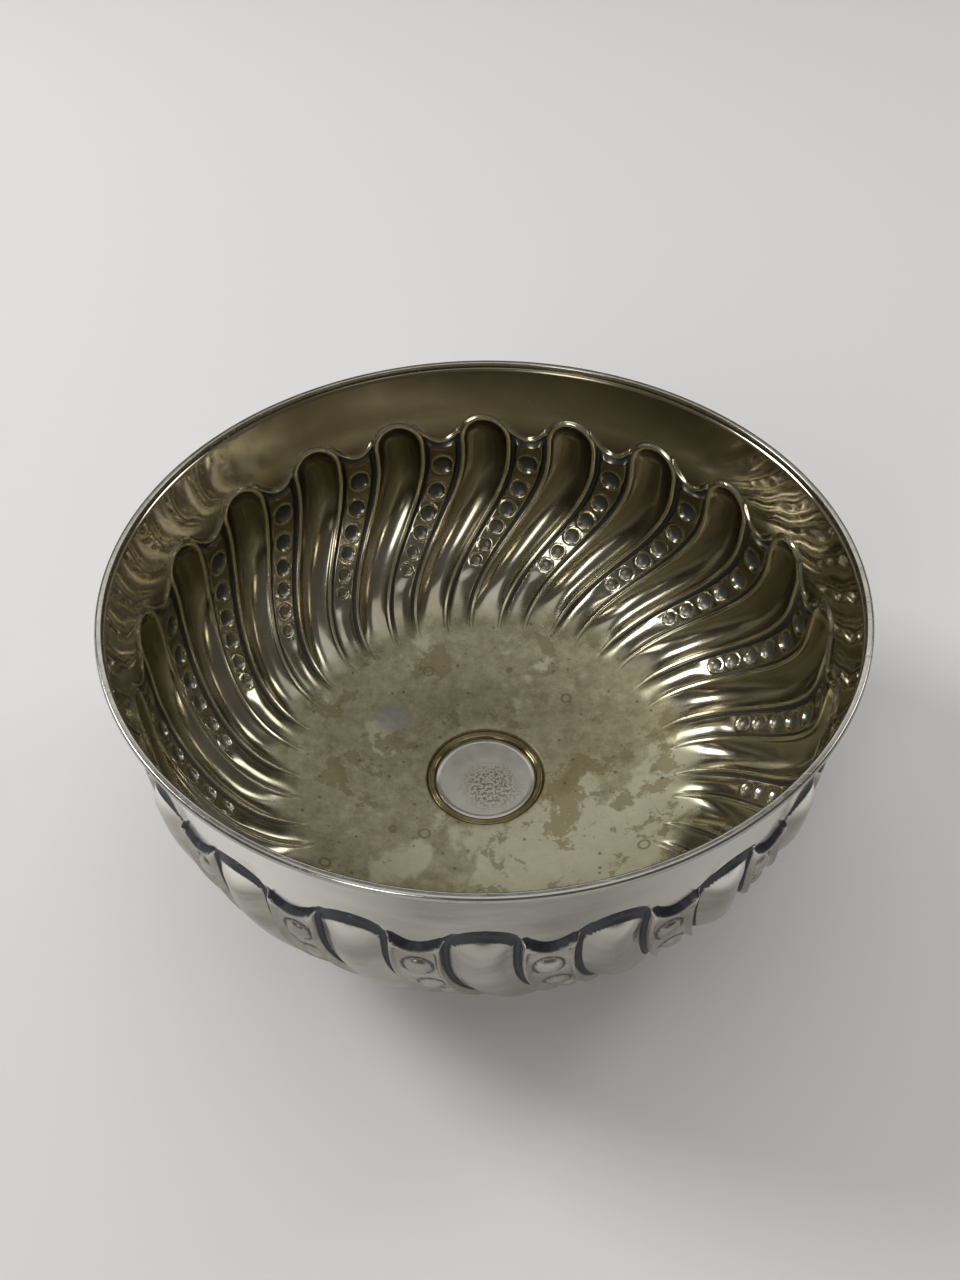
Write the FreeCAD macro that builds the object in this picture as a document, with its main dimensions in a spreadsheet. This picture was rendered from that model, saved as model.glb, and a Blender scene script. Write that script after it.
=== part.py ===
"""Fluted silver shaving bowl: a raised sheet shell with spiral flutes and beads, a rim wire,
a disc held by a bezel in the well at the centre of the floor, and a low foot ring.
Millimetres. The bowl stands on z = 0 with its axis on Z."""

import FreeCAD, Part
import math
import os
import Sketcher

DOC = FreeCAD.newDocument("shaving_bowl")
SHEET = DOC.addObject("Spreadsheet::Sheet", "Sizes")

# Driving dimensions. A profile point has a radius and a level above the table,
# both taken on the inner skin of the sheet metal.
SIZES = [
    ("gauge", 0.8, "thickness of the silver sheet"),
    ("lip_radius", 68.6, "inner skin where the rim wire sits"),
    ("lip_level", 66.7, ""),
    ("throat_radius", 66.9, "middle of the plain polished band"),
    ("throat_level", 55.5, ""),
    ("waist_radius", 66.3, "narrowest place, where the flutes begin"),
    ("waist_level", 46.5, ""),
    ("belly_radius", 66.1, "widest place of the fluted wall"),
    ("belly_level", 39.0, ""),
    ("shoulder_radius", 63.4, ""),
    ("shoulder_level", 29.4, ""),
    ("turn_radius", 56.1, "where the wall turns in to the floor"),
    ("turn_level", 18.8, ""),
    ("flute_end_radius", 42.9, "where the flutes die out on the floor"),
    ("flute_end_level", 9.3, ""),
    ("floor_radius", 30.0, ""),
    ("floor_level", 5.3, ""),
    ("seat_radius", 16.0, "flat seat round the well"),
    ("seat_level", 3.85, ""),
    ("flute_count", 20, "flutes, with a band of beads between each two"),
    ("flute_depth", 1.5, "how far a flute bulges out of the bands"),
    ("flute_start_length", 12.5, "along the wall from the lip to the flute tops"),
    ("swirl_start_length", 22.0, "along the wall from the lip to where the flutes begin to lean"),
    ("flute_end_length", 68.5, "along the wall from the lip to the flute ends"),
    ("first_flute_degrees", -1.1, "direction of the first flute's top, from +X"),
    ("swirl_degrees", 18.3, "turn of a flute from top to end"),
    ("section_count", 21, "cross-sections that the skins pass through"),
    ("wire_width", 1.4, "rim wire, across"),
    ("wire_height", 1.3, "rim wire, upright"),
    ("wire_round", 0.3, "rounding of the rim wire"),
    ("well_radius", 13.4, "well at the centre of the floor"),
    ("well_level", 2.3, "top of the well's floor"),
    ("disc_radius", 11.3, "bright disc in the well"),
    ("disc_thickness", 0.5, ""),
    ("bezel_height", 1.15, "bezel ring that holds the disc"),
    ("bezel_round", 0.5, ""),
    ("foot_inner_radius", 21.8, "foot ring under the floor"),
    ("foot_top_radius", 23.4, ""),
    ("foot_base_radius", 25.0, ""),
    ("foot_blank_height", 4.4, "before the top is fitted to the bowl"),
]

PROFILE = ["lip", "throat", "waist", "belly", "shoulder", "turn", "flute_end", "floor", "seat"]
POINTS_PER_FLUTE = 8


def fill_sheet():
    for row, (alias, value, note) in enumerate(SIZES, start=1):
        SHEET.set(f"A{row}", alias)
        SHEET.set(f"B{row}", str(value))
        SHEET.set(f"C{row}", note)
        SHEET.setAlias(f"B{row}", alias)
    DOC.recompute()


def size(alias):
    return float(SHEET.get(alias))


def bind(thing, name, formula):
    thing.setExpression(name, formula)


def smoothstep(value):
    clipped = min(1.0, max(0.0, value))
    return clipped * clipped * (3.0 - 2.0 * clipped)


# ---------------------------------------------------------------- fluted skins


def profile_curve():
    """The inner skin's outline, from the lip to the flat seat round the well."""
    points = [FreeCAD.Vector(size(f"{name}_radius"), 0, size(f"{name}_level")) for name in PROFILE]
    curve = Part.BSplineCurve()
    curve.interpolate(points)
    return curve


def flute_share(length):
    """How much of the full flute depth the wall has at this length from the lip."""
    start, end = size("flute_start_length"), size("flute_end_length")
    rounded_top = smoothstep((length - start) / 7.0)
    dying_end = smoothstep((end - length) / 34.0)
    return rounded_top * dying_end


def swirl_at(length):
    """Direction of the first flute, in degrees, at this length from the lip."""
    start, end = size("swirl_start_length"), size("flute_end_length")
    turned = size("swirl_degrees") * smoothstep((length - start) / (end - start))
    return size("first_flute_degrees") + turned


def lobe_wave(share):
    """1 on the middle of a flute and 0 on the bands; share counts pitches from the middle."""
    nearest = share - round(share)
    half_width = 0.27
    if abs(nearest) >= half_width:
        return 0.0
    return math.cos(0.5 * math.pi * nearest / half_width) ** 1.2


def fluted_ring(radius, level, depth, turn):
    """A closed level curve with the flutes' bulges, turned by the swirl."""
    count = int(size("flute_count"))
    steps = count * POINTS_PER_FLUTE
    points = []
    for step in range(steps):
        angle = math.radians(360.0 * step / steps + turn)
        reach = radius + depth * lobe_wave(step / POINTS_PER_FLUTE)
        points.append(FreeCAD.Vector(reach * math.cos(angle), reach * math.sin(angle), level))
    curve = Part.BSplineCurve()
    curve.interpolate(points, PeriodicFlag=True)
    return Part.Wire(curve.toShape())


def skin(name, offset, above):
    """A solid whose outside is one skin of the sheet metal: the profile moved out by offset,
    with its top section lifted by above."""
    outline = profile_curve()
    whole = outline.length()
    rings = []
    count = int(size("section_count"))
    for index in range(count):
        length = whole * index / (count - 1)
        at = outline.parameterAtDistance(length, outline.FirstParameter)
        point = outline.value(at)
        along = outline.tangent(at)[0]
        lean = max(-along.z, 0.12)
        radius = point.x + offset * lean
        level = point.z + offset * along.x
        if index == 0:
            level = point.z + above
        if index == count - 1:
            level = point.z - offset
        depth = size("flute_depth") * flute_share(length) / max(lean, 0.5)
        ring = DOC.addObject("Part::Feature", f"{name}_ring_{index}")
        ring.Shape = fluted_ring(radius, level, depth, swirl_at(length))
        rings.append(ring)
    loft = DOC.addObject("Part::Loft", name)
    loft.Sections = rings
    loft.Solid = True
    loft.Ruled = False
    return loft


def cylinder(name, radius, low, high):
    """An upright cylinder between two levels; each argument is an expression."""
    made = DOC.addObject("Part::Cylinder", name)
    bind(made, "Radius", radius)
    bind(made, "Height", f"({high}) - ({low})")
    bind(made, "Placement.Base.z", low)
    return made


def join(name, pieces):
    made = DOC.addObject("Part::MultiFuse", name)
    made.Shapes = pieces
    return made


def cut(name, base, tool):
    made = DOC.addObject("Part::Cut", name)
    made.Base = base
    made.Tool = tool
    return made


def bowl_shell():
    """One raised sheet: everything inside the outer skin, less everything inside the inner."""
    outside = skin("outer_skin", size("gauge"), 0.0)
    inside = skin("inner_skin", 0.0, 1.0)
    cup = cylinder("well_cup", "Sizes.well_radius + Sizes.gauge",
                   "Sizes.well_level - Sizes.gauge", "Sizes.seat_level")
    hollow = cylinder("well_hollow", "Sizes.well_radius", "Sizes.well_level", "Sizes.seat_level + 2")
    return cut("bowl_shell", join("outer_form", [outside, cup]), join("inner_form", [inside, hollow]))


# ------------------------------------------------------- turned rings and disc


def origin_plane(body, role):
    for feature in body.Origin.OriginFeatures:
        if feature.Role == role:
            return feature
    raise ValueError(role)


def total(*terms):
    """A sum of sheet aliases and plain numbers, as its value and as an expression."""
    value = sum(size(term) if isinstance(term, str) else term for term in terms)
    formula = " + ".join(f"Sizes.{term}" if isinstance(term, str) else f"({term})" for term in terms)
    return value, formula


def turned_body(name, corners):
    """A PartDesign body: a closed outline in the XZ plane, revolved about Z.
    corners are (radius, level) pairs, each made with total."""
    body = DOC.addObject("PartDesign::Body", name)
    sketch = body.newObject("Sketcher::SketchObject", f"{name}_outline")
    sketch.AttachmentSupport = [(origin_plane(body, "XZ_Plane"), "")]
    sketch.MapMode = "FlatFace"
    places = [[value for value, formula in corner] for corner in corners]
    for start, end in zip(places, places[1:] + places[:1]):
        sketch.addGeometry(Part.LineSegment(FreeCAD.Vector(*start, 0), FreeCAD.Vector(*end, 0)), False)
    for index in range(len(corners)):
        following = (index + 1) % len(corners)
        sketch.addConstraint(Sketcher.Constraint("Coincident", index, 2, following, 1))
    for index, corner in enumerate(corners):
        for kind, (value, formula) in zip(("DistanceX", "DistanceY"), corner):
            number = sketch.addConstraint(Sketcher.Constraint(kind, -1, 1, index, 1, value))
            sketch.setExpression(f"Constraints[{number}]", formula)
    turned = body.newObject("PartDesign::Revolution", f"{name}_turned")
    turned.Profile = sketch
    turned.ReferenceAxis = (sketch, ["V_Axis"])
    turned.Angle = 360.0
    DOC.recompute()
    return body


def round_edges(body, radius, chosen):
    """A PartDesign fillet on the body's circular edges that chosen(radius, level) picks."""
    last = body.Tip
    names = []
    for number, edge in enumerate(last.Shape.Edges, start=1):
        if isinstance(edge.Curve, Part.Circle):
            centre = edge.Curve.Center
            if chosen(edge.Curve.Radius, centre.z):
                names.append(f"Edge{number}")
    fillet = body.newObject("PartDesign::Fillet", f"{body.Name}_rounding")
    fillet.Base = (last, names)
    bind(fillet, "Radius", radius)
    DOC.recompute()


def rim_wire():
    """The applied wire that stiffens the mouth; its inner side is flush with the sheet."""
    inner, outer = total("lip_radius"), total("lip_radius", "wire_width")
    low, high = total("lip_level"), total("lip_level", "wire_height")
    body = turned_body("rim_wire", [(inner, low), (outer, low), (outer, high), (inner, high)])
    round_edges(body, "Sizes.wire_round", lambda radius, level: level > high[0] - 0.01)
    return body


def centre_disc():
    """The plain disc in the well, with a slightly domed edge left by its chamfer."""
    axis, edge, inner_edge = total(0.0), total("disc_radius"), total("disc_radius", -0.3)
    low, face = total("well_level"), total("well_level", "disc_thickness")
    shoulder = total("well_level", "disc_thickness", -0.15)
    outline = [(axis, low), (edge, low), (edge, shoulder), (inner_edge, face), (axis, face)]
    return turned_body("centre_disc", outline)


def disc_bezel():
    """The ring between the disc and the wall of the well, rounded on top."""
    inner, outer = total("disc_radius"), total("well_radius")
    low, high = total("well_level"), total("well_level", "bezel_height")
    body = turned_body("disc_bezel", [(inner, low), (outer, low), (outer, high), (inner, high)])
    round_edges(body, "Sizes.bezel_round", lambda radius, level: level > high[0] - 0.01)
    return body


def foot_ring(outer_form):
    """The ring that the bowl stands on: a turned blank whose top is fitted to the floor."""
    inner, top, base = total("foot_inner_radius"), total("foot_top_radius"), total("foot_base_radius")
    table, height = total(0.0), total("foot_blank_height")
    outline = [(inner, table), (base, table), (base, total(0.9)), (top, total(2.2)), (top, height)]
    blank = turned_body("foot_blank", outline + [(inner, height)])
    return cut("foot_ring", blank, outer_form)


# --------------------------------------------------------- checking and writing


def check(parts):
    DOC.recompute()
    for thing in DOC.Objects:
        if "Invalid" in thing.State or "Error" in thing.State:
            raise RuntimeError(f"{thing.Name} failed: {thing.State}")
    for part in parts:
        shape = part.Shape
        if shape.isNull() or not shape.isValid() or len(shape.Solids) != 1:
            raise RuntimeError(f"{part.Name} is not one valid solid")
        print(f"{part.Label}: {shape.Volume:.0f} mm3, {len(shape.Faces)} faces, {shape.BoundBox}")


def write(parts):
    os.makedirs("parts", exist_ok=True)
    for part in parts:
        part.Shape.exportStep(f"parts/{part.Label}.step")


fill_sheet()
shell = bowl_shell()
parts = [shell, rim_wire(), centre_disc(), disc_bezel(), foot_ring(shell.Base)]
for part in parts:
    part.Label = part.Name
check(parts)
write(parts)
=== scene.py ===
# %% [markdown]
# # A fluted silver shaving bowl
# A silversmith raises this bowl from one disc of sheet: the wall is hammered up, then flutes, beads and a
# scalloped line are pushed out with punches. The sheet is under a millimetre thick, so every hollow inside
# is a swelling outside. This lesson builds that sheet as one closed mesh from a height formula, adds the
# turned pieces that are soldered to it, and gives each a worn silver finish.

# %% Load the fixed frame
import math

import bmesh
import bpy
import numpy as np
from mathutils import Matrix, Vector


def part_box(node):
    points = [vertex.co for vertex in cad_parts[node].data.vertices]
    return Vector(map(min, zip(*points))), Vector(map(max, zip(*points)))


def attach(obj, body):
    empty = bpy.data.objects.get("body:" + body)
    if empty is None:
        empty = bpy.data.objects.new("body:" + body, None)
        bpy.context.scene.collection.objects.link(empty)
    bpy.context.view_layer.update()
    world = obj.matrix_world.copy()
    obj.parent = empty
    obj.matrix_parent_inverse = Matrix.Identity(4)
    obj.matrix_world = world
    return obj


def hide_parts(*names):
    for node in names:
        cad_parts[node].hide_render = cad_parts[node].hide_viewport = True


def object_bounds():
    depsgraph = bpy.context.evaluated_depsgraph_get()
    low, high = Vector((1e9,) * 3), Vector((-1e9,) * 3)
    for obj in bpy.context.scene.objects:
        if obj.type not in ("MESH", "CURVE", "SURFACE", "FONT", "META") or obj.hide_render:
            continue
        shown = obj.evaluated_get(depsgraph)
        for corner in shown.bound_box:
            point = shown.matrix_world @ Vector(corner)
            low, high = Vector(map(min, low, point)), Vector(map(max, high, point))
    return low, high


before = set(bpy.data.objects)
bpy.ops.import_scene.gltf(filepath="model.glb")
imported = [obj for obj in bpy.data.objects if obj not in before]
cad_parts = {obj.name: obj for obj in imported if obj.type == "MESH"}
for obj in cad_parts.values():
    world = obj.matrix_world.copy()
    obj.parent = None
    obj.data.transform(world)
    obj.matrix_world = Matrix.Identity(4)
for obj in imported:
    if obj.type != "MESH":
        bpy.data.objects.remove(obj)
cad_low, cad_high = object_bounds()
MM = 0.001
print("frame box in mm:", [round(v / MM, 1) for v in (*cad_low, *cad_high)])

# %% [markdown]
# ## The camera
# A round rim looks like an ellipse, and how flat it is tells how steeply the camera looks down. The camera
# stands close, about two rim radii away, which is why the near wall hides so little of the far one. It is
# placed from the rim, so it stays right if the bowl's size changes. A lens of about 30 mm on a 36 mm sensor
# is a phone's main camera.

# %% Place the camera from the rim
rim_low, rim_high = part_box("rim_wire")
RIM_RADIUS = 0.5 * (rim_high.x - rim_low.x)
RIM_LEVEL = rim_high.z


def make_camera(back, above, aside, down_degrees, roll_degrees, lens):
    """back, above and aside count rim radii from the middle of the mouth."""
    data = bpy.data.cameras.new("camera")
    data.lens = lens
    data.sensor_width = 36.0
    data.clip_start, data.clip_end = 0.01, 20.0
    camera = bpy.data.objects.new("camera", data)
    bpy.context.scene.collection.objects.link(camera)
    down, roll = math.radians(down_degrees), math.radians(roll_degrees)
    forward = Vector((0, math.cos(down), -math.sin(down)))
    level_up = Vector((0, math.sin(down), math.cos(down)))
    right = math.cos(roll) * Vector((1, 0, 0)) + math.sin(roll) * level_up
    up = math.cos(roll) * level_up - math.sin(roll) * Vector((1, 0, 0))
    turn = Matrix((right, up, -forward)).transposed().to_4x4()
    place = Vector((aside, -back, above)) * RIM_RADIUS + Vector((0, 0, RIM_LEVEL))
    camera.matrix_world = Matrix.Translation(place) @ turn
    bpy.context.scene.camera = camera
    return camera


camera = make_camera(back=2.1287, above=1.9175, aside=-0.011,
                     down_degrees=46.0, roll_degrees=-0.86, lens=30.5)
print("camera at", [round(v, 4) for v in camera.location])

# %% [markdown]
# ## The sheet's outline
# Before any flute is chased, the bowl is a plain turned form. Its inner skin is described by a few points,
# and a natural cubic spline joins them, as a flexible batten would. The spline is then measured along its
# length, because a silversmith marks out flutes and beads by the distance from the lip, not by height.

# %% Measure the plain outline along its length
shell_low, shell_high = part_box("bowl_shell")
GAUGE = 0.8
LIP_RADIUS, LIP_LEVEL = 68.6, shell_high.z / MM
OUTLINE = [
    (LIP_RADIUS, LIP_LEVEL), (66.9, 55.5), (66.3, 46.5), (66.1, 39.0), (63.4, 29.4),
    (56.1, 18.8), (42.9, 9.3), (30.0, 5.3), (16.0, 3.85),
]
WELL_RADIUS, WELL_LEVEL = 13.4, 2.3


def natural_spline(knots, values, wanted):
    """A natural cubic spline through values at knots, read at wanted."""
    knots, values = np.asarray(knots, float), np.asarray(values, float)
    gaps, count = np.diff(knots), len(knots)
    system, right_side = np.eye(count), np.zeros(count)
    for k in range(1, count - 1):
        system[k, k - 1:k + 2] = gaps[k - 1], 2 * (gaps[k - 1] + gaps[k]), gaps[k]
        slopes = np.diff(values[k - 1:k + 2]) / gaps[k - 1:k + 1]
        right_side[k] = 6 * (slopes[1] - slopes[0])
    bend = np.linalg.solve(system, right_side)
    k = np.clip(np.searchsorted(knots, wanted) - 1, 0, count - 2)
    near, far, gap = wanted - knots[k], knots[k + 1] - wanted, gaps[k]
    return ((bend[k] * far ** 3 + bend[k + 1] * near ** 3) / (6 * gap)
            + (values[k] / gap - bend[k] * gap / 6) * far
            + (values[k + 1] / gap - bend[k + 1] * gap / 6) * near)


def measured_outline(points, steps=4000):
    """Length from the lip, radius and level at many places along the spline."""
    points = np.array(points)
    chord = np.concatenate([[0], np.cumsum(np.linalg.norm(np.diff(points, axis=0), axis=1))])
    fine = np.linspace(0, chord[-1], steps)
    radius = natural_spline(chord, points[:, 0], fine)
    level = natural_spline(chord, points[:, 1], fine)
    length = np.concatenate([[0], np.cumsum(np.hypot(np.diff(radius), np.diff(level)))])
    return length, radius, level


RUN, RUN_RADIUS, RUN_LEVEL = measured_outline(OUTLINE)
WALL_LENGTH = RUN[-1]


def radius_at(length):
    return np.interp(length, RUN, RUN_RADIUS)


def level_at(length):
    return np.interp(length, RUN, RUN_LEVEL)


print("outline is", round(WALL_LENGTH, 1), "mm long from lip to well seat")

# %% [markdown]
# ## The swirl
# Twenty flutes share the wall. Each starts upright under the plain band, leans over in the middle and
# straightens again at the floor, so its centre line is an S. A smoothstep gives just that: no turn at the
# ends and the most in the middle. The arched tops lean back a little before the swirl begins.

# %% Lay out the flutes
FLUTES = 20
PITCH = 360.0 / FLUTES
FIRST_FLUTE = -1.1
SWIRL, SWIRL_START, SWIRL_LENGTH = 18.3, 21.6, 47.0
LEAN = 0.8
FLUTE_END = 69.3


def smoothstep(value):
    value = np.clip(value, 0.0, 1.0)
    return value * value * (3.0 - 2.0 * value)


def fading(length, begin, end):
    """1 before begin and 0 after end."""
    return 1.0 - smoothstep((length - begin) / (end - begin))


def swirl_at(length):
    """Degrees that a flute has turned at this length from the lip."""
    share = np.clip((length - SWIRL_START) / SWIRL_LENGTH, 0.0, 1.0)
    return SWIRL * smoothstep(share ** 1.1) + LEAN * fading(length, 10.0, 20.0)


print("a flute turns", swirl_at(FLUTE_END).round(1), "degrees on its way down")

# %% [markdown]
# ## The relief formula
# Displacing a plain surface by a height works well for chased metal, because a punch only moves the sheet
# in and out. Heights are in millimetres, plus towards the inside of the bowl. A place is given by its share
# of a pitch from the flute's middle and its length from the lip. Each tool mark is one short function: the
# hollow of the flute with its arched top, the ridge that borders it, the sunk channel with a flat panel
# standing in it, the scalloped lip above, and the row of beads.

# %% Shapes of one flute and its border
FLUTE_EDGE = 0.232
RIDGE_EDGE = 0.297
CHANNEL_EDGE = 0.34
ARCH_TOP, ARCH_FOOT = 13.15, 18.15
FLUTE_DEPTH = 2.25
RIDGE_HEIGHT = 0.5
CHANNEL_DEPTH = 0.95
CRESCENT_WIDTH = 1.5
OUTSIDE_TIGHT, OUTSIDE_SHALLOW = 1.13, 0.88


def hump(value):
    """1 at 0, falling to 0 at plus or minus 1."""
    return np.clip(1.0 - value * value, 0.0, 1.0)


def pitch_width(length):
    return radius_at(length) * math.radians(PITCH)


def flute_reach(share, length):
    """0 on the flute's middle line and 1 on its edge; the top is half an ellipse."""
    rise = np.clip(ARCH_FOOT - length, 0.0, None) / (ARCH_FOOT - ARCH_TOP)
    return np.hypot(share / FLUTE_EDGE, rise)


def flute_hollow(reach, length):
    depth = FLUTE_DEPTH * (0.6 + 0.4 * fading(length, 18.0, 34.0)) * fading(length, 54.0, FLUTE_END)
    return -depth * np.clip(1.0 - reach ** 2, 0.0, None)


def flute_ridge(reach, length):
    """The round border, with a fine chased line along it once it leaves the arch."""
    across = (reach - 1.0) * FLUTE_EDGE / (RIDGE_EDGE - FLUTE_EDGE)
    crown = hump(np.clip(2.0 * across - 1.0, -1.0, 1.0) ** 2)
    line = 0.3 * np.exp(-((across - 0.45) / 0.13) ** 2) * (1.0 - fading(length, 22.0, 32.0))
    return RIDGE_HEIGHT * (crown - line) * fading(length, 63.0, FLUTE_END)


# %% Shapes between two flutes
SWAG_BOTTOM, SWAG_RISE = 18.6, 2.6
LIP_WIDTH = 0.95
LIP_HEIGHT = 0.6
PANEL_DROP = 1.7
TONGUE_START = 51.0


def band_share(share):
    """0 at one bordering ridge, 0.5 on the band's middle and 1 at the next ridge."""
    inward = (np.abs(share) - RIDGE_EDGE) / (1.0 - 2.0 * RIDGE_EDGE)
    return np.where(share < 0.0, inward, 1.0 - inward)


def swag_length(across):
    """Length from the lip of the scalloped line, which sags between two flutes."""
    return SWAG_BOTTOM - SWAG_RISE * (2.0 * across - 1.0) ** 2


def scalloped_lip(below):
    return LIP_HEIGHT * hump(np.clip((below + 0.45) / LIP_WIDTH, -1.0, 1.0))


def channel_and_panel(across, below, length):
    """A sunk channel with a flat panel in it, whose two sides and top stand clear of the ridges."""
    band_width = (1.0 - 2.0 * RIDGE_EDGE) * pitch_width(length)
    channel = (CHANNEL_EDGE - RIDGE_EDGE) / (1.0 - 2.0 * RIDGE_EDGE)
    from_side = (0.5 - channel - np.abs(across - 0.5)) * band_width
    from_top = 0.45 * (below - PANEL_DROP)
    corner = np.minimum(from_side, from_top)
    rounding = 0.35 * np.exp(-np.abs(from_side - from_top) / 0.5)
    raised = smoothstep((corner - rounding) / 0.7 + 0.65)
    depth = CHANNEL_DEPTH * (0.6 + 0.4 * fading(length, 30.0, 50.0)) * fading(length, 62.0, FLUTE_END)
    tongue = 0.5 * hump((across - 0.5) / (0.5 - channel)) * (1.0 - fading(length, TONGUE_START, 56.0))
    return depth * (raised - 1.0) + tongue * fading(length, 64.0, FLUTE_END)


# %% The graduated beads
BEADS = [(25.2, 5.2), (32.2, 4.6), (37.7, 4.3), (42.2, 3.9), (46.7, 3.5), (50.6, 3.25)]


def beads(share, length):
    """Round dimples, each with a raised rim, down the middle of the band."""
    height = np.zeros_like(length)
    from_middle = np.where(share > 0.0, share - 0.5, share + 0.5) * PITCH
    for place, across in BEADS:
        turned = np.radians(from_middle + swirl_at(length) - swirl_at(place))
        far = np.hypot(turned * radius_at(length), length - place) / (0.5 * across)
        dimple = -0.15 * across * np.clip(1.0 - (far / 0.9) ** 3.0, 0.0, None)
        rim = 0.26 * hump(np.clip((far - 0.99) / 0.14, -1.0, 1.0))
        height = height + np.where(far < 0.9, dimple, 0.0) + rim
    return height


# %% Put the marks together
def relief(share, length, tight=1.0, shallow=1.0):
    """Height, and masks of 0 to 1 for the ridges and for the sunk lines, at each place. From outside
    the flutes are narrower and shallower, because the sheet thins as it stretches."""
    reach = flute_reach(np.abs(share), length)
    across = band_share(share)
    below = length - swag_length(np.clip(across, -0.3, 1.0))
    between = (across > 0.0) & (across < 1.0)
    lip_end = smoothstep((across + 0.22) / 0.12) * smoothstep((1.06 - across) / 0.08)
    border = 1.0 + (RIDGE_EDGE - FLUTE_EDGE) / FLUTE_EDGE
    in_flute = reach < 1.0
    in_ridge = (reach >= 1.0) & (reach < border)
    ridge = np.where(in_ridge, flute_ridge(reach, length), 0.0)
    lip = np.where(in_flute, 0.0, scalloped_lip(below)) * lip_end
    lip_share = lip / LIP_HEIGHT
    sunk = np.where((below > 0.0) & between, channel_and_panel(across, below, length), 0.0)
    on_panel = np.where((reach >= border) & (below > PANEL_DROP), beads(share, length), 0.0)
    marks = np.maximum(ridge, lip) + sunk + on_panel
    height = np.where(in_flute, shallow * flute_hollow(reach * tight, length), marks)
    alive = fading(length, 62.0, FLUTE_END)
    worn = np.maximum(ridge / RIDGE_HEIGHT, lip_share) + np.clip(on_panel / 0.3, 0.0, 0.4)
    low = np.clip(-(sunk + 1.25 * np.minimum(on_panel, 0.0)) / CHANNEL_DEPTH, 0.0, 1.0)
    edge = np.exp(-((reach - border) / 0.07) ** 2) * alive
    return height, np.clip(worn, 0.0, 1.0), np.clip(low + 0.5 * edge, 0.0, 1.0)


def dark_crescent(share, length):
    """A thin dark crescent under the arched top of each lobe, outside. It stands in for a dark reflection
    that polished lobes show there, so unlike a reflection it keeps its place when the view changes."""
    share = np.abs(share)
    in_lobe = fading(flute_reach(share, length), 0.97, 1.03)
    below_crescent = flute_reach(share, length - CRESCENT_WIDTH)
    return in_lobe * (1.0 - fading(below_crescent, 1.0, 1.08))


print("relief reaches from", -FLUTE_DEPTH, "to", RIDGE_HEIGHT, "mm")

# %% [markdown]
# ## The sheet as a mesh
# The grid's columns follow the swirl, so ridges run along rows of edges and stay crisp. Columns stand
# closer together on ridges and channels, and rows where the arches and beads are. Both skins use the same
# grid: the outer one is the outline moved out by the gauge, with a slightly softened copy of the same
# relief, because metal rounds off as it stretches over a punch.

# %% Choose columns and rows
def spread(*stretches):
    """Places from stretches of (start, end, steps), each without its end."""
    return np.concatenate([np.linspace(a, b, n, endpoint=False) for a, b, n in stretches])


HALF_FLUTE = spread((0.0, FLUTE_EDGE, 10), (FLUTE_EDGE, RIDGE_EDGE, 6), (RIDGE_EDGE, CHANNEL_EDGE, 4),
                    (CHANNEL_EDGE, 0.5, 10))
SHARES = np.concatenate([-HALF_FLUTE[::-1], HALF_FLUTE[1:], [0.5]])
ROWS = spread((0.0, 11.0, 11), (11.0, 22.0, 42), (22.0, 53.5, 86), (53.5, 70.0, 26),
              (70.0, WALL_LENGTH, 12))
ROWS = np.append(ROWS, WALL_LENGTH)
print(len(SHARES) * FLUTES, "columns and", len(ROWS), "rows")


# %% Displace both skins
def skin_rings(offset, soften):
    """(rings, columns, 3) places of one skin, with its masks, from lip to seat."""
    count = FLUTES * len(SHARES)
    share = np.tile(SHARES, FLUTES)[None, :].repeat(len(ROWS), 0)
    length = ROWS[:, None].repeat(count, 1)
    tight, shallow = (OUTSIDE_TIGHT, OUTSIDE_SHALLOW) if soften else (1.0, 1.0)
    height, worn, low = relief(share, length, tight, shallow)
    if soften:
        ring = np.roll(height, 1, 1) + np.roll(height, -1, 1)
        height = 0.5 * height + 0.25 * ring
        # Outside, the worn mask also takes the dark crescent, a painted dark reflection; the shell stores it
        # as sunk.
        worn = np.maximum(worn, dark_crescent(share, length))
    step = 0.05
    run_in = radius_at(length + step) - radius_at(length - step)
    run_down = level_at(length + step) - level_at(length - step)
    norm = np.hypot(run_in, run_down)
    inward_radius, inward_level = run_down / norm, -run_in / norm
    push = height - offset
    radius = radius_at(length) + push * inward_radius
    level = level_at(length) + push * inward_level
    middle = np.repeat(np.arange(FLUTES) * PITCH, len(SHARES))[None, :] + FIRST_FLUTE
    angle = np.radians(middle + share * PITCH + swirl_at(length))
    places = np.stack([radius * np.cos(angle), radius * np.sin(angle), level], -1)
    return places, worn, low, angle


def ring_of(angle, radius, level):
    return np.stack([radius * np.cos(angle), radius * np.sin(angle), np.full_like(angle, level)], -1)


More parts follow.
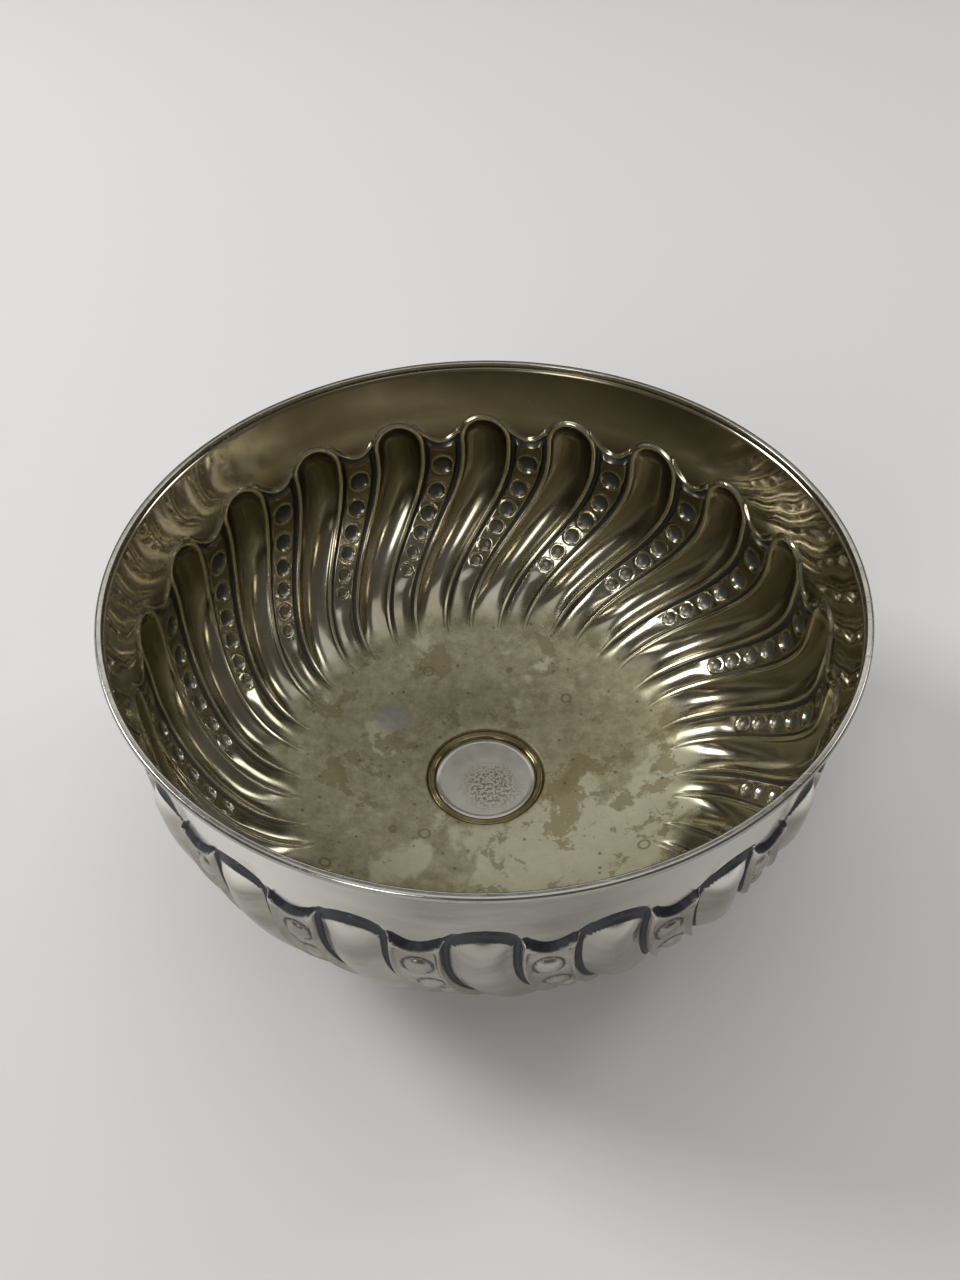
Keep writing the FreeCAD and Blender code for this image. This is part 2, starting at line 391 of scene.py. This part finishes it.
def mesh_from_rings(name, rings, closed_ends):
    """Quads between neighbouring rings; a fan closes each end when closed_ends is set."""
    rings = np.asarray(rings)
    count, columns = rings.shape[:2]
    places = rings.reshape(-1, 3)
    row = np.arange(count - 1)[:, None] * columns
    here = np.arange(columns)[None, :]
    there = (here + 1) % columns
    quads = np.stack([row + here, row + columns + here, row + columns + there, row + there], -1)
    quads = quads.reshape(-1, 4)
    loops, starts = [quads.reshape(-1)], [np.arange(len(quads)) * 4]
    if closed_ends:
        tops = (rings[0].mean(0), rings[-1].mean(0))
        places = np.concatenate([places, tops])
        first = np.stack([np.full(columns, count * columns), here[0], there[0]], -1)
        bottom = (count - 1) * columns
        last = np.stack([np.full(columns, count * columns + 1), bottom + there[0], bottom + here[0]], -1)
        fans = np.concatenate([first, last])
        loops.append(fans.reshape(-1))
        starts.append(len(quads) * 4 + np.arange(len(fans)) * 3)
    loops, starts = np.concatenate(loops), np.concatenate(starts)
    mesh = bpy.data.meshes.new(name)
    mesh.vertices.add(len(places))
    mesh.vertices.foreach_set("co", (places * MM).ravel())
    mesh.loops.add(len(loops))
    mesh.loops.foreach_set("vertex_index", loops)
    mesh.polygons.add(len(starts))
    mesh.polygons.foreach_set("loop_start", starts)
    mesh.update(calc_edges=True)
    mesh.validate()
    mesh.polygons.foreach_set("use_smooth", np.ones(len(mesh.polygons), bool))
    thing = bpy.data.objects.new(name, mesh)
    bpy.context.scene.collection.objects.link(thing)
    return thing


def store(thing, name, values):
    layer = thing.data.attributes.new(name, "FLOAT", "POINT")
    layer.data.foreach_set("value", np.asarray(values, np.float32))


# %% Build the shell
WELL_LIP = [(13.75, 0.0), (13.5, -0.1), (13.4, -0.35)]


def build_shell():
    inner, inner_worn, inner_low, angle = skin_rings(0.0, soften=False)
    outer, outer_grooves_and_painted_crescent, outer_low, angle = skin_rings(GAUGE, soften=True)
    seat = OUTLINE[-1][1]
    last_angle = angle[-1]
    well = [ring_of(last_angle, r, seat + drop) for r, drop in WELL_LIP]
    well += [ring_of(last_angle, WELL_RADIUS, WELL_LEVEL), ring_of(last_angle, 6.0, WELL_LEVEL)]
    under = [ring_of(last_angle, WELL_RADIUS + GAUGE, seat - GAUGE),
             ring_of(last_angle, WELL_RADIUS + GAUGE, WELL_LEVEL - GAUGE + 0.3),
             ring_of(last_angle, WELL_RADIUS + GAUGE - 0.3, WELL_LEVEL - GAUGE),
             ring_of(last_angle, 6.0, WELL_LEVEL - GAUGE)]
    rings = np.concatenate([np.array(well)[::-1], inner[::-1], outer, np.array(under)])
    shell = mesh_from_rings("bowl_shell_sheet", rings, closed_ends=True)
    columns = rings.shape[1]

    def along_rings(inner_values, outer_values, well_value, under_value):
        rows = [np.full((len(well), columns), well_value), inner_values[::-1], outer_values,
                np.full((len(under), columns), under_value)]
        ends = [well_value, under_value]
        return np.concatenate([np.concatenate(rows).ravel(), ends])

    zeros, ones = np.zeros_like(inner_worn), np.ones_like(inner_worn)
    length = ROWS[:, None].repeat(columns, 1)
    store(shell, "worn", along_rings(inner_worn, outer_low, 0.0, 0.0))
    # Outside, the sunk mask also holds the painted dark reflection of the crescent under each lobe.
    store(shell, "sunk", along_rings(inner_low, outer_grooves_and_painted_crescent, 0.0, 0.0))
    store(shell, "outside", along_rings(zeros, ones, 0.0, 1.0))
    store(shell, "length", along_rings(length, length, WALL_LENGTH, WALL_LENGTH))
    return shell


shell = build_shell()
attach(shell, "root")
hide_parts("bowl_shell")
print("shell has", len(shell.data.polygons), "faces")

# %% [markdown]
# ## The turned pieces
# The rim wire, the foot ring, the bezel and the disc are all made on a lathe or drawn and bent, so one
# helper turns an outline about the bowl's axis. Their sizes come from the frame's boxes.

# %% A helper that turns an outline
def turned(name, outline, closed, columns=512):
    """outline is a list of (radius, level) in mm; a closed outline makes a ring."""
    angle = np.linspace(0.0, 2.0 * math.pi, columns, endpoint=False)
    outline = list(outline) + ([outline[0]] if closed else [])
    rings = np.array([ring_of(angle, radius, level) for radius, level in outline])
    thing = mesh_from_rings(name, rings, closed_ends=not closed)
    if closed:
        weld(thing)
    return thing


def weld(thing):
    """Joins the last ring of a closed outline to its first."""
    work = bmesh.new()
    work.from_mesh(thing.data)
    bmesh.ops.remove_doubles(work, verts=work.verts, dist=0.000001)
    bmesh.ops.recalc_face_normals(work, faces=work.faces)
    work.to_mesh(thing.data)
    work.free()


def box_of(node):
    """Outer radius, lowest level and highest level of a turned node, in mm."""
    low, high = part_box(node)
    return 0.5 * (high.x - low.x) / MM, low.z / MM, high.z / MM


def arc(middle_radius, middle_level, across, upright, begin, end, steps):
    """Points on an ellipse's arc; 0 degrees points outward and 90 up."""
    turn = np.radians(np.linspace(begin, end, steps))
    return [(middle_radius + across * math.cos(t), middle_level + upright * math.sin(t)) for t in turn]


# %% The rim wire
def build_rim_wire():
    outer, low, high = box_of("rim_wire")
    half_height = 0.5 * (high - low)
    outline = arc(outer - 0.5, low + half_height, 0.5, half_height, -80.0, 80.0, 15)
    outline += [(outer - 0.62, high), (LIP_RADIUS + 0.4, high - 0.02)]
    outline += arc(LIP_RADIUS + 0.3, high - 0.32, 0.3, 0.3, 95.0, 180.0, 6)
    outline += [(LIP_RADIUS, low), (LIP_RADIUS + GAUGE, low)]
    return turned("rim_wire_drawn", outline, closed=True, columns=720)


rim_wire = build_rim_wire()
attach(rim_wire, "root")
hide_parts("rim_wire")

# %% The disc, a little dished, with a soft edge
def build_disc():
    outer, low, high = box_of("centre_disc")
    outline = [(0.5, low), (outer, low), (outer, high - 0.15), (outer - 0.08, high - 0.05)]
    outline += [(outer - 0.25, high), (outer - 1.2, high - 0.02), (outer * 0.6, high - 0.1)]
    outline += [(outer * 0.3, high - 0.14), (0.5, high - 0.15)]
    return turned("centre_disc_struck", outline, closed=False, columns=256)


disc = build_disc()
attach(disc, "root")
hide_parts("centre_disc")

# %% The bezel, with two fine turned lines on its crown
def build_bezel():
    outer, low, high = box_of("disc_bezel")
    inner = box_of("centre_disc")[0]
    width = outer - inner
    crown = []
    for share in np.linspace(0.0, 1.0, 41):
        bulge = math.sin(math.pi * share) ** 0.45
        line = 0.10 * (math.exp(-((share - 0.36) / 0.05) ** 2) + math.exp(-((share - 0.62) / 0.05) ** 2))
        crown.append((outer - width * share, low + (high - low) * (0.35 + 0.65 * bulge) - line))
    return turned("disc_bezel_turned", [(inner, low), (outer, low)] + crown, closed=True, columns=256)


bezel = build_bezel()
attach(bezel, "root")
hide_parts("disc_bezel")

# %% The foot ring
def build_foot():
    outer, low, high = box_of("foot_ring")
    inner, neck = outer - 3.2, outer - 1.6
    outline = [(inner, low)] + arc(outer - 0.35, low + 0.4, 0.35, 0.4, -90.0, 90.0, 9)
    outline += [(outer - 0.7, low + 0.95), (outer - 1.15, low + 1.5), (neck, low + 2.2), (neck, high)]
    outline += [(inner, high)]
    return turned("foot_ring_turned", outline, closed=True)


foot = build_foot()
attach(foot, "root")
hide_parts("foot_ring")
print("turned pieces:", [thing.name for thing in (rim_wire, disc, bezel, foot)])

# %% [markdown]
# ## Groups that the finishes share
# Old silver is never one colour. It darkens where a polishing cloth can't reach, stays bright on edges, and
# has hair-fine scratches and soft cloudy patches all over. Each effect is a node group with named sockets,
# placed in each material with its own values. The groups put out masks and heights only.

# %% Node helpers
def new_group(name, inputs, outputs):
    """A shader node group; inputs are (name, default) pairs, outputs are names."""
    group = bpy.data.node_groups.new(name, "ShaderNodeTree")
    for label, value in inputs:
        socket = group.interface.new_socket(label, in_out="INPUT", socket_type="NodeSocketFloat")
        socket.default_value = value
    for label in outputs:
        group.interface.new_socket(label, in_out="OUTPUT", socket_type="NodeSocketFloat")
    return group, group.nodes.new("NodeGroupInput"), group.nodes.new("NodeGroupOutput")


class Board:
    """A node tree with short words for adding and joining nodes."""

    def __init__(self, tree):
        self.tree = tree

    def node(self, kind, **settings):
        made = self.tree.nodes.new("ShaderNode" + kind)
        for key, value in settings.items():
            setattr(made, key, value)
        return made

    def feed(self, socket, value):
        if isinstance(value, bpy.types.NodeSocket):
            self.tree.links.new(value, socket)
        else:
            socket.default_value = value

    def math(self, operation, first, second=0.0, clamp=False):
        made = self.node("Math", operation=operation, use_clamp=clamp)
        self.feed(made.inputs[0], first)
        self.feed(made.inputs[1], second)
        return made.outputs[0]

    def noise(self, place, scale, detail=4.0, rough=0.5, distortion=0.0):
        made = self.node("TexNoise")
        self.feed(made.inputs["Vector"], place)
        self.feed(made.inputs["Scale"], scale)
        made.inputs["Detail"].default_value = detail
        made.inputs["Roughness"].default_value = rough
        made.inputs["Distortion"].default_value = distortion
        return made.outputs["Fac"]

    def span(self, value, low, high, to_low=0.0, to_high=1.0):
        made = self.node("MapRange", clamp=True)
        self.feed(made.inputs["Value"], value)
        for label, number in zip(("From Min", "From Max", "To Min", "To Max"), (low, high, to_low, to_high)):
            self.feed(made.inputs[label], number)
        return made.outputs["Result"]

    def mix(self, share, first, second):
        made = self.node("Mix", data_type="RGBA")
        self.feed(made.inputs[0], share)
        self.feed(made.inputs[6], first)
        self.feed(made.inputs[7], second)
        return made.outputs[2]

    def mask(self, name):
        return self.node("Attribute", attribute_name=name).outputs["Fac"]

    def place(self):
        return self.node("TexCoord").outputs["Object"]

    def group(self, tree, **values):
        made = self.node("Group", node_tree=tree)
        for label, value in values.items():
            self.feed(made.inputs[label.replace("_", " ")], value)
        return made.outputs


# %% Cloudy tarnish: soft patches, large and small
def make_tarnish_group():
    group, given, result = new_group("tarnish_clouds", [("Scale", 30.0), ("Cover", 0.5)], ["Cloud", "Speck"])
    board = Board(group)
    place = board.place()
    large = board.noise(place, given.outputs["Scale"], detail=5.0, rough=0.62, distortion=0.6)
    edge = board.math("SUBTRACT", 0.78, board.math("MULTIPLY", given.outputs["Cover"], 0.5))
    cloud = board.span(large, board.math("SUBTRACT", edge, 0.12), board.math("ADD", edge, 0.12))
    small = board.noise(place, board.math("MULTIPLY", given.outputs["Scale"], 9.0), detail=3.0)
    board.feed(result.inputs["Cloud"], cloud)
    board.feed(result.inputs["Speck"], board.span(small, 0.64, 0.72))
    return group


tarnish_clouds = make_tarnish_group()


# %% Fine wear: scratches, a haze of rubbing, and the soft unevenness that a hammer leaves
def make_wear_group():
    group, given, result = new_group("fine_wear", [("Scale", 1.0)], ["Scratch", "Haze", "Hammered"])
    board = Board(group)
    place = board.place()
    total = None
    for turn, stretch in ((0.4, 26.0), (1.3, 34.0), (2.3, 22.0)):
        lay = board.node("Mapping")
        board.feed(lay.inputs["Vector"], place)
        lay.inputs["Rotation"].default_value = (0.3 * turn, 0.2, turn)
        lay.inputs["Scale"].default_value = (1.0, stretch, stretch)
        grain = board.noise(lay.outputs["Vector"], board.math("MULTIPLY", given.outputs["Scale"], 60.0), 2.0)
        line = board.span(grain, 0.66, 0.74)
        total = line if total is None else board.math("MAXIMUM", total, line)
    haze = board.noise(place, board.math("MULTIPLY", given.outputs["Scale"], 220.0), detail=4.0, rough=0.6)
    upright = board.node("Mapping")
    board.feed(upright.inputs["Vector"], place)
    upright.inputs["Scale"].default_value = (1.0, 1.0, 0.3)
    board.feed(result.inputs["Scratch"], total)
    board.feed(result.inputs["Haze"], haze)
    board.feed(result.inputs["Hammered"], board.noise(upright.outputs["Vector"], 150.0, 0.0))
    return group


fine_wear = make_wear_group()
print("groups:", [group.name for group in bpy.data.node_groups if group.type == "SHADER"])

# %% [markdown]
# ## The silver of the sheet
# The mesh carries four numbers at every point: how worn a place is, how sunk, whether it is outside, and
# how far down the wall it lies. The material reads them, so wear follows the chasing exactly. Sunk lines
# hold blue-black oxide, and outside the sunk number also carries a dark crescent under each lobe's arch, a
# painted dark reflection. Ridges are rubbed to pale gold, the upper chased wall is darkened brown as painted
# shade, and the floor is a dull khaki where soap and water have stood. The plain band is duller at the back,
# where its colour is darkened as a painted dark reflection; its outside is brightened at the two sides as a
# painted reflection; the silver browns towards the floor; and the floor is paler at the front, as painted
# light. These four are fitted.

# %% The sheet's finish
BLUISH_SPOT = (-0.0215, 0.0160, 0.0050)
BLUISH_SPOT_RADIUS = 0.0052
RUBBED_SPOT = (0.0012, -0.0022, 0.0028)


def principled(name):
    material = bpy.data.materials.new(name)
    material.use_nodes = True
    return material, Board(material.node_tree), material.node_tree.nodes["Principled BSDF"]


def wear_bump(board, shader, height, strength, distance):
    bump = board.node("Bump")
    bump.inputs["Strength"].default_value = strength
    bump.inputs["Distance"].default_value = distance
    board.feed(bump.inputs["Height"], height)
    board.feed(shader.inputs["Normal"], bump.outputs["Normal"])


def make_sheet_silver():
    material, board, shader = principled("raised_silver")
    worn, sunk = board.mask("worn"), board.mask("sunk")
    outside, length = board.mask("outside"), board.mask("length")
    place = board.place()
    sides = board.node("SeparateXYZ")
    board.feed(sides.inputs[0], place)
    clouds = board.group(tarnish_clouds, Scale=55.0, Cover=0.75)
    wear = board.group(fine_wear, Scale=1.0)
    inside = board.math("SUBTRACT", 1.0, outside)
    plain = board.math("MULTIPLY", board.span(length, 18.0, 10.0), inside)
    painted_dark_back_band = board.math("MULTIPLY", plain, board.span(sides.outputs["Y"], 0.035, 0.055))

    chased = board.math("MULTIPLY", board.span(length, 12.0, 18.0), board.span(length, 69.0, 62.0))
    painted_upper_shade = board.math("MULTIPLY", board.span(length, 12.0, 18.0), board.span(length, 44.0, 24.0))
    floor_edge = board.math("MULTIPLY", board.noise(place, 90.0, 5.0, 0.6), 9.0)
    on_floor = board.span(board.math("ADD", length, floor_edge), 65.5, 71.0)
    on_floor = board.math("MULTIPLY", on_floor, inside)

    silver = board.mix(clouds["Cloud"], (0.80, 0.74, 0.60, 1), (0.66, 0.60, 0.46, 1))
    # Painted dark reflection: the inside of the plain band is darkened at the back.
    silver = board.mix(board.math("MULTIPLY", painted_dark_back_band, 0.8), silver, (0.20, 0.17, 0.10, 1))
    wall = board.mix(clouds["Cloud"], (0.52, 0.495, 0.42, 1), (0.36, 0.33, 0.25, 1))
    silver = board.mix(chased, silver, wall)
    # Painted shade: the upper chased wall, from about 12 to 44 mm down, is darkened to dark brown.
    silver = board.mix(board.math("MULTIPLY", painted_upper_shade, 0.85), silver, (0.15, 0.125, 0.075, 1))
    silver = board.mix(board.span(length, 52.0, 64.0, 0.0, 0.5), silver, (0.24, 0.225, 0.15, 1))
    silver = board.mix(board.math("MULTIPLY", worn, 0.8), silver, (0.74, 0.68, 0.50, 1))
    silver = board.mix(on_floor, silver, floor_colour(board, place))
    silver = board.mix(outside, silver, outside_colour(board, place, sides, length))
    begin, full = board.span(outside, 0.0, 1.0, 0.25, 0.08), board.span(outside, 0.0, 1.0, 0.8, 0.45)
    # Outside, the sunk mask also holds the crescent under each lobe's arch, so this blue-black is there a
    # painted dark reflection, besides oxide in the grooves.
    oxide_and_painted_crescent = board.math("MULTIPLY", board.span(sunk, begin, full), board.span(outside, 0.0, 1.0, 0.9, 1.0))
    silver = board.mix(oxide_and_painted_crescent, silver, (0.055, 0.062, 0.07, 1))
    board.feed(shader.inputs["Base Color"], silver)

    rough = board.span(wear["Haze"], 0.35, 0.7, 0.025, 0.07)
    rough = board.math("ADD", rough, board.math("MULTIPLY", chased, 0.13))
    rough = board.math("ADD", rough, board.math("MULTIPLY", outside, 0.05))
    rough = board.math("ADD", rough, board.math("MULTIPLY", painted_dark_back_band, 0.16))
    rough = board.math("ADD", rough, board.math("MULTIPLY", wear["Scratch"], 0.05))
    rough = board.math("ADD", rough, board.math("MULTIPLY", on_floor, 0.3))
    rough = board.math("ADD", rough, board.math("MULTIPLY", oxide_and_painted_crescent, 0.34))
    board.feed(shader.inputs["Roughness"], rough)
    metal = board.math("SUBTRACT", 1.0, board.math("MULTIPLY", on_floor, 0.65))
    metal = board.math("SUBTRACT", metal, board.math("MULTIPLY", oxide_and_painted_crescent, 0.4))
    board.feed(shader.inputs["Metallic"], metal)
    fine = board.math("MULTIPLY", board.math("SUBTRACT", wear["Haze"], wear["Scratch"]), 0.008)
    dents = board.math("MULTIPLY", wear["Hammered"], board.span(plain, 0.0, 1.0, 0.04, 0.22))
    wear_bump(board, shader, board.math("ADD", dents, fine), 1.0, 0.00035)
    return material


def outside_colour(board, place, sides, length):
    """Grey with long smudges, and a painted reflection that brightens the two sides of the plain band."""
    long = board.node("Mapping")
    board.feed(long.inputs["Vector"], place)
    long.inputs["Scale"].default_value = (1.0, 1.0, 3.0)
    smudge = board.span(board.noise(long.outputs["Vector"], 55.0, 6.0, 0.65), 0.40, 0.62)
    base = board.mix(smudge, (0.32, 0.305, 0.265, 1), (0.44, 0.425, 0.38, 1))
    # Painted reflection: the plain band's outside is brightened at its two sides.
    painted_side_reflection = board.span(board.math("ABSOLUTE", sides.outputs["X"]), 0.010, 0.034, 0.0, 0.9)
    painted_side_reflection = board.math("MULTIPLY", painted_side_reflection, board.span(length, 19.0, 15.0))
    return board.mix(painted_side_reflection, base, (0.90, 0.88, 0.82, 1))


def floor_colour(board, place):
    """Khaki with paler patches, more of them at the front as painted light, ochre blots with darker borders,
    small pits and dried rings.
    """
    mottle = board.span(board.noise(place, 300.0, 8.0, 0.8), 0.36, 0.64)
    base = board.mix(mottle, (0.23, 0.205, 0.115, 1), (0.42, 0.385, 0.245, 1))
    pale_stains_and_painted_front_light = board.noise(place, 36.0, 8.0, 0.6, 0.15)
    front = board.node("SeparateXYZ")
    board.feed(front.inputs[0], place)
    # The pale patches are stains; pushing more of them to the front is painted light, a lighter front of the
    # floor.
    pale_stains_and_painted_front_light = board.math("ADD", pale_stains_and_painted_front_light, board.span(front.outputs["Y"], 0.01, -0.02, -0.10, 0.02))
    base = board.mix(board.span(pale_stains_and_painted_front_light, 0.495, 0.53, 0.0, 0.55), base, (0.62, 0.60, 0.44, 1))
    blot = board.noise(place, 80.0, 9.0, 0.68, 0.2)
    base = board.mix(board.span(blot, 0.58, 0.60, 0.0, 0.65), base, (0.21, 0.17, 0.06, 1))
    border = board.math("MULTIPLY", board.span(blot, 0.573, 0.583), board.span(blot, 0.607, 0.591))
    base = board.mix(board.math("MULTIPLY", border, 0.35), base, (0.17, 0.12, 0.04, 1))
    base = board.mix(dots(board, place, 330.0, 0.0, 0.12, 0.5), base, (0.09, 0.07, 0.03, 1))
    base = board.mix(dots(board, place, 150.0, 0.18, 0.22, 0.88), base, (0.14, 0.11, 0.05, 1))
    spot = board.node("VectorMath", operation="DISTANCE")
    board.feed(spot.inputs[0], place)
    spot.inputs[1].default_value = BLUISH_SPOT
    blue = board.span(spot.outputs["Value"], BLUISH_SPOT_RADIUS, 0.5 * BLUISH_SPOT_RADIUS, 0.0, 0.6)
    return board.mix(blue, base, (0.29, 0.30, 0.31, 1))


def dots(board, place, scale, inner, outer, rare):
    """Round marks in some cells of a scattered pattern: filled, or rings if inner is over 0."""
    cells = board.node("TexVoronoi")
    board.feed(cells.inputs["Vector"], place)
    cells.inputs["Scale"].default_value = scale
    filled = board.span(cells.outputs["Distance"], outer + 0.03, outer, 0.0, 1.0)
    if inner > 0.0:
        filled = board.math("MULTIPLY", filled, board.span(cells.outputs["Distance"], inner - 0.03, inner))
    tone = board.node("SeparateColor")
    board.feed(tone.inputs[0], cells.outputs["Color"])
    return board.math("MULTIPLY", filled, board.span(tone.outputs[0], rare, rare + 0.02, 0.0, 0.65))


sheet_silver = make_sheet_silver()
shell.data.materials.append(sheet_silver)

# %% [markdown]
# ## The other finishes
# The rim wire and the foot ring are plain satin silver. The disc is smooth, with one grainy worn patch. The
# bezel keeps brown gilding in its turned lines.

# %% Rim, disc and bezel finishes
def make_plain_silver(name, light, dark, smooth, rubbed, cover):
    """Two tones in clouds that cover a share of the piece; smooth and rubbed are its two roughnesses."""
    material, board, shader = principled(name)
    clouds = board.group(tarnish_clouds, Scale=80.0, Cover=cover)
    wear = board.group(fine_wear, Scale=1.4)
    colour = board.mix(clouds["Cloud"], light, dark)
    colour = board.mix(board.math("MULTIPLY", clouds["Speck"], 0.3), colour, (0.2, 0.17, 0.12, 1))
    board.feed(shader.inputs["Base Color"], colour)
    rough = board.span(wear["Haze"], 0.35, 0.7, smooth, rubbed)
    rough = board.math("ADD", rough, board.math("MULTIPLY", wear["Scratch"], 0.12))
    board.feed(shader.inputs["Roughness"], rough)
    shader.inputs["Metallic"].default_value = 1.0
    wear_bump(board, shader, board.math("SUBTRACT", wear["Haze"], wear["Scratch"]), 0.05, 0.0003)
    return material


def make_disc_silver():
    """Smooth dull silver with one grainy worn patch."""
    material, board, shader = principled("disc_silver")
    place = board.place()
    wear = board.group(fine_wear, Scale=1.4)
    grain = board.noise(place, 1500.0, 2.0, 0.7)
    middle = board.node("VectorMath", operation="DISTANCE")
    board.feed(middle.inputs[0], place)
    middle.inputs[1].default_value = RUBBED_SPOT
    ragged = board.math("ADD", middle.outputs["Value"], board.math("MULTIPLY", grain, 0.004))
    rubbed = board.span(ragged, 0.010, 0.006)
    worn = board.math("MULTIPLY", rubbed, board.span(grain, 0.46, 0.56))
    colour = board.mix(board.noise(place, 140.0, 5.0, 0.6), (0.43, 0.415, 0.365, 1), (0.53, 0.515, 0.46, 1))
    board.feed(shader.inputs["Base Color"], board.mix(worn, colour, (0.20, 0.17, 0.115, 1)))
    board.feed(shader.inputs["Roughness"], board.span(wear["Haze"], 0.35, 0.7, 0.11, 0.17))
    shader.inputs["Metallic"].default_value = 0.62
    wear_bump(board, shader, board.math("MULTIPLY", rubbed, grain), 0.08, 0.0002)
    return material


rim_silver = make_plain_silver("polished_silver", light=(0.45, 0.435, 0.40, 1), dark=(0.36, 0.34, 0.29, 1),
                               smooth=0.14, rubbed=0.24, cover=0.4)
bezel_gilt = make_plain_silver("gilt_silver", light=(0.36, 0.31, 0.19, 1), dark=(0.19, 0.15, 0.08, 1),
                               smooth=0.08, rubbed=0.16, cover=0.7)
disc_silver = make_disc_silver()
for thing, finish in ((rim_wire, rim_silver), (foot, rim_silver), (disc, disc_silver), (bezel, bezel_gilt)):
    thing.data.materials.append(finish)
print("finishes:", [material.name for material in bpy.data.materials if material.use_nodes])

# %% [markdown]
# ## The studio
# Polished metal shows its surroundings, so the lights are large soft panels with darker space between
# them. The floor is plain and pale, and the world is dim and warm, which gives the silver its dark tones.

# %% Floor, lights and world
def make_floor():
    bpy.ops.mesh.primitive_plane_add(size=8.0, location=(0, 0, cad_low.z))
    floor = bpy.context.object
    floor.name = "studio_floor"
    material, board, shader = principled("studio_floor")
    shader.inputs["Base Color"].default_value = (0.92, 0.92, 0.92, 1)
    shader.inputs["Roughness"].default_value = 0.9
    floor.data.materials.append(material)
    return floor


def soft_light(name, place, aim, width, height, power, tint=(1, 1, 1)):
    data = bpy.data.lights.new(name, "AREA")
    data.shape = "RECTANGLE"
    data.size, data.size_y = width, height
    data.energy, data.color = power, tint
    light = bpy.data.objects.new(name, data)
    bpy.context.scene.collection.objects.link(light)
    direction = Vector(aim) - Vector(place)
    light.location = place
    light.rotation_mode = "QUATERNION"
    light.rotation_quaternion = direction.to_track_quat("-Z", "Y")
    return light


floor = make_floor()
soft_light("left_panel", (-0.95, 0.35, 0.85), (0, 0, 0), 0.4, 0.45, 6.5)
soft_light("right_panel", (0.85, 0.5, 0.85), (0, 0, 0), 0.3, 0.4, 1.4)
soft_light("front_panel", (-0.6, -1.1, 0.8), (0, 0, 0), 0.35, 0.8, 4.0)
soft_light("back_panel", (0.0, 1.25, 1.35), (0, 0, 0), 2.0, 0.35, 2.5)
soft_light("top_panel", (0.0, 0.1, 1.8), (0, 0, 0), 1.6, 1.6, 6.5)

world = bpy.data.worlds.new("studio")
world.use_nodes = True
world.node_tree.nodes["Background"].inputs["Color"].default_value = (0.50, 0.47, 0.42, 1)
world.node_tree.nodes["Background"].inputs["Strength"].default_value = 0.28
bpy.context.scene.world = world
bpy.context.scene.view_settings.view_transform = "Standard"
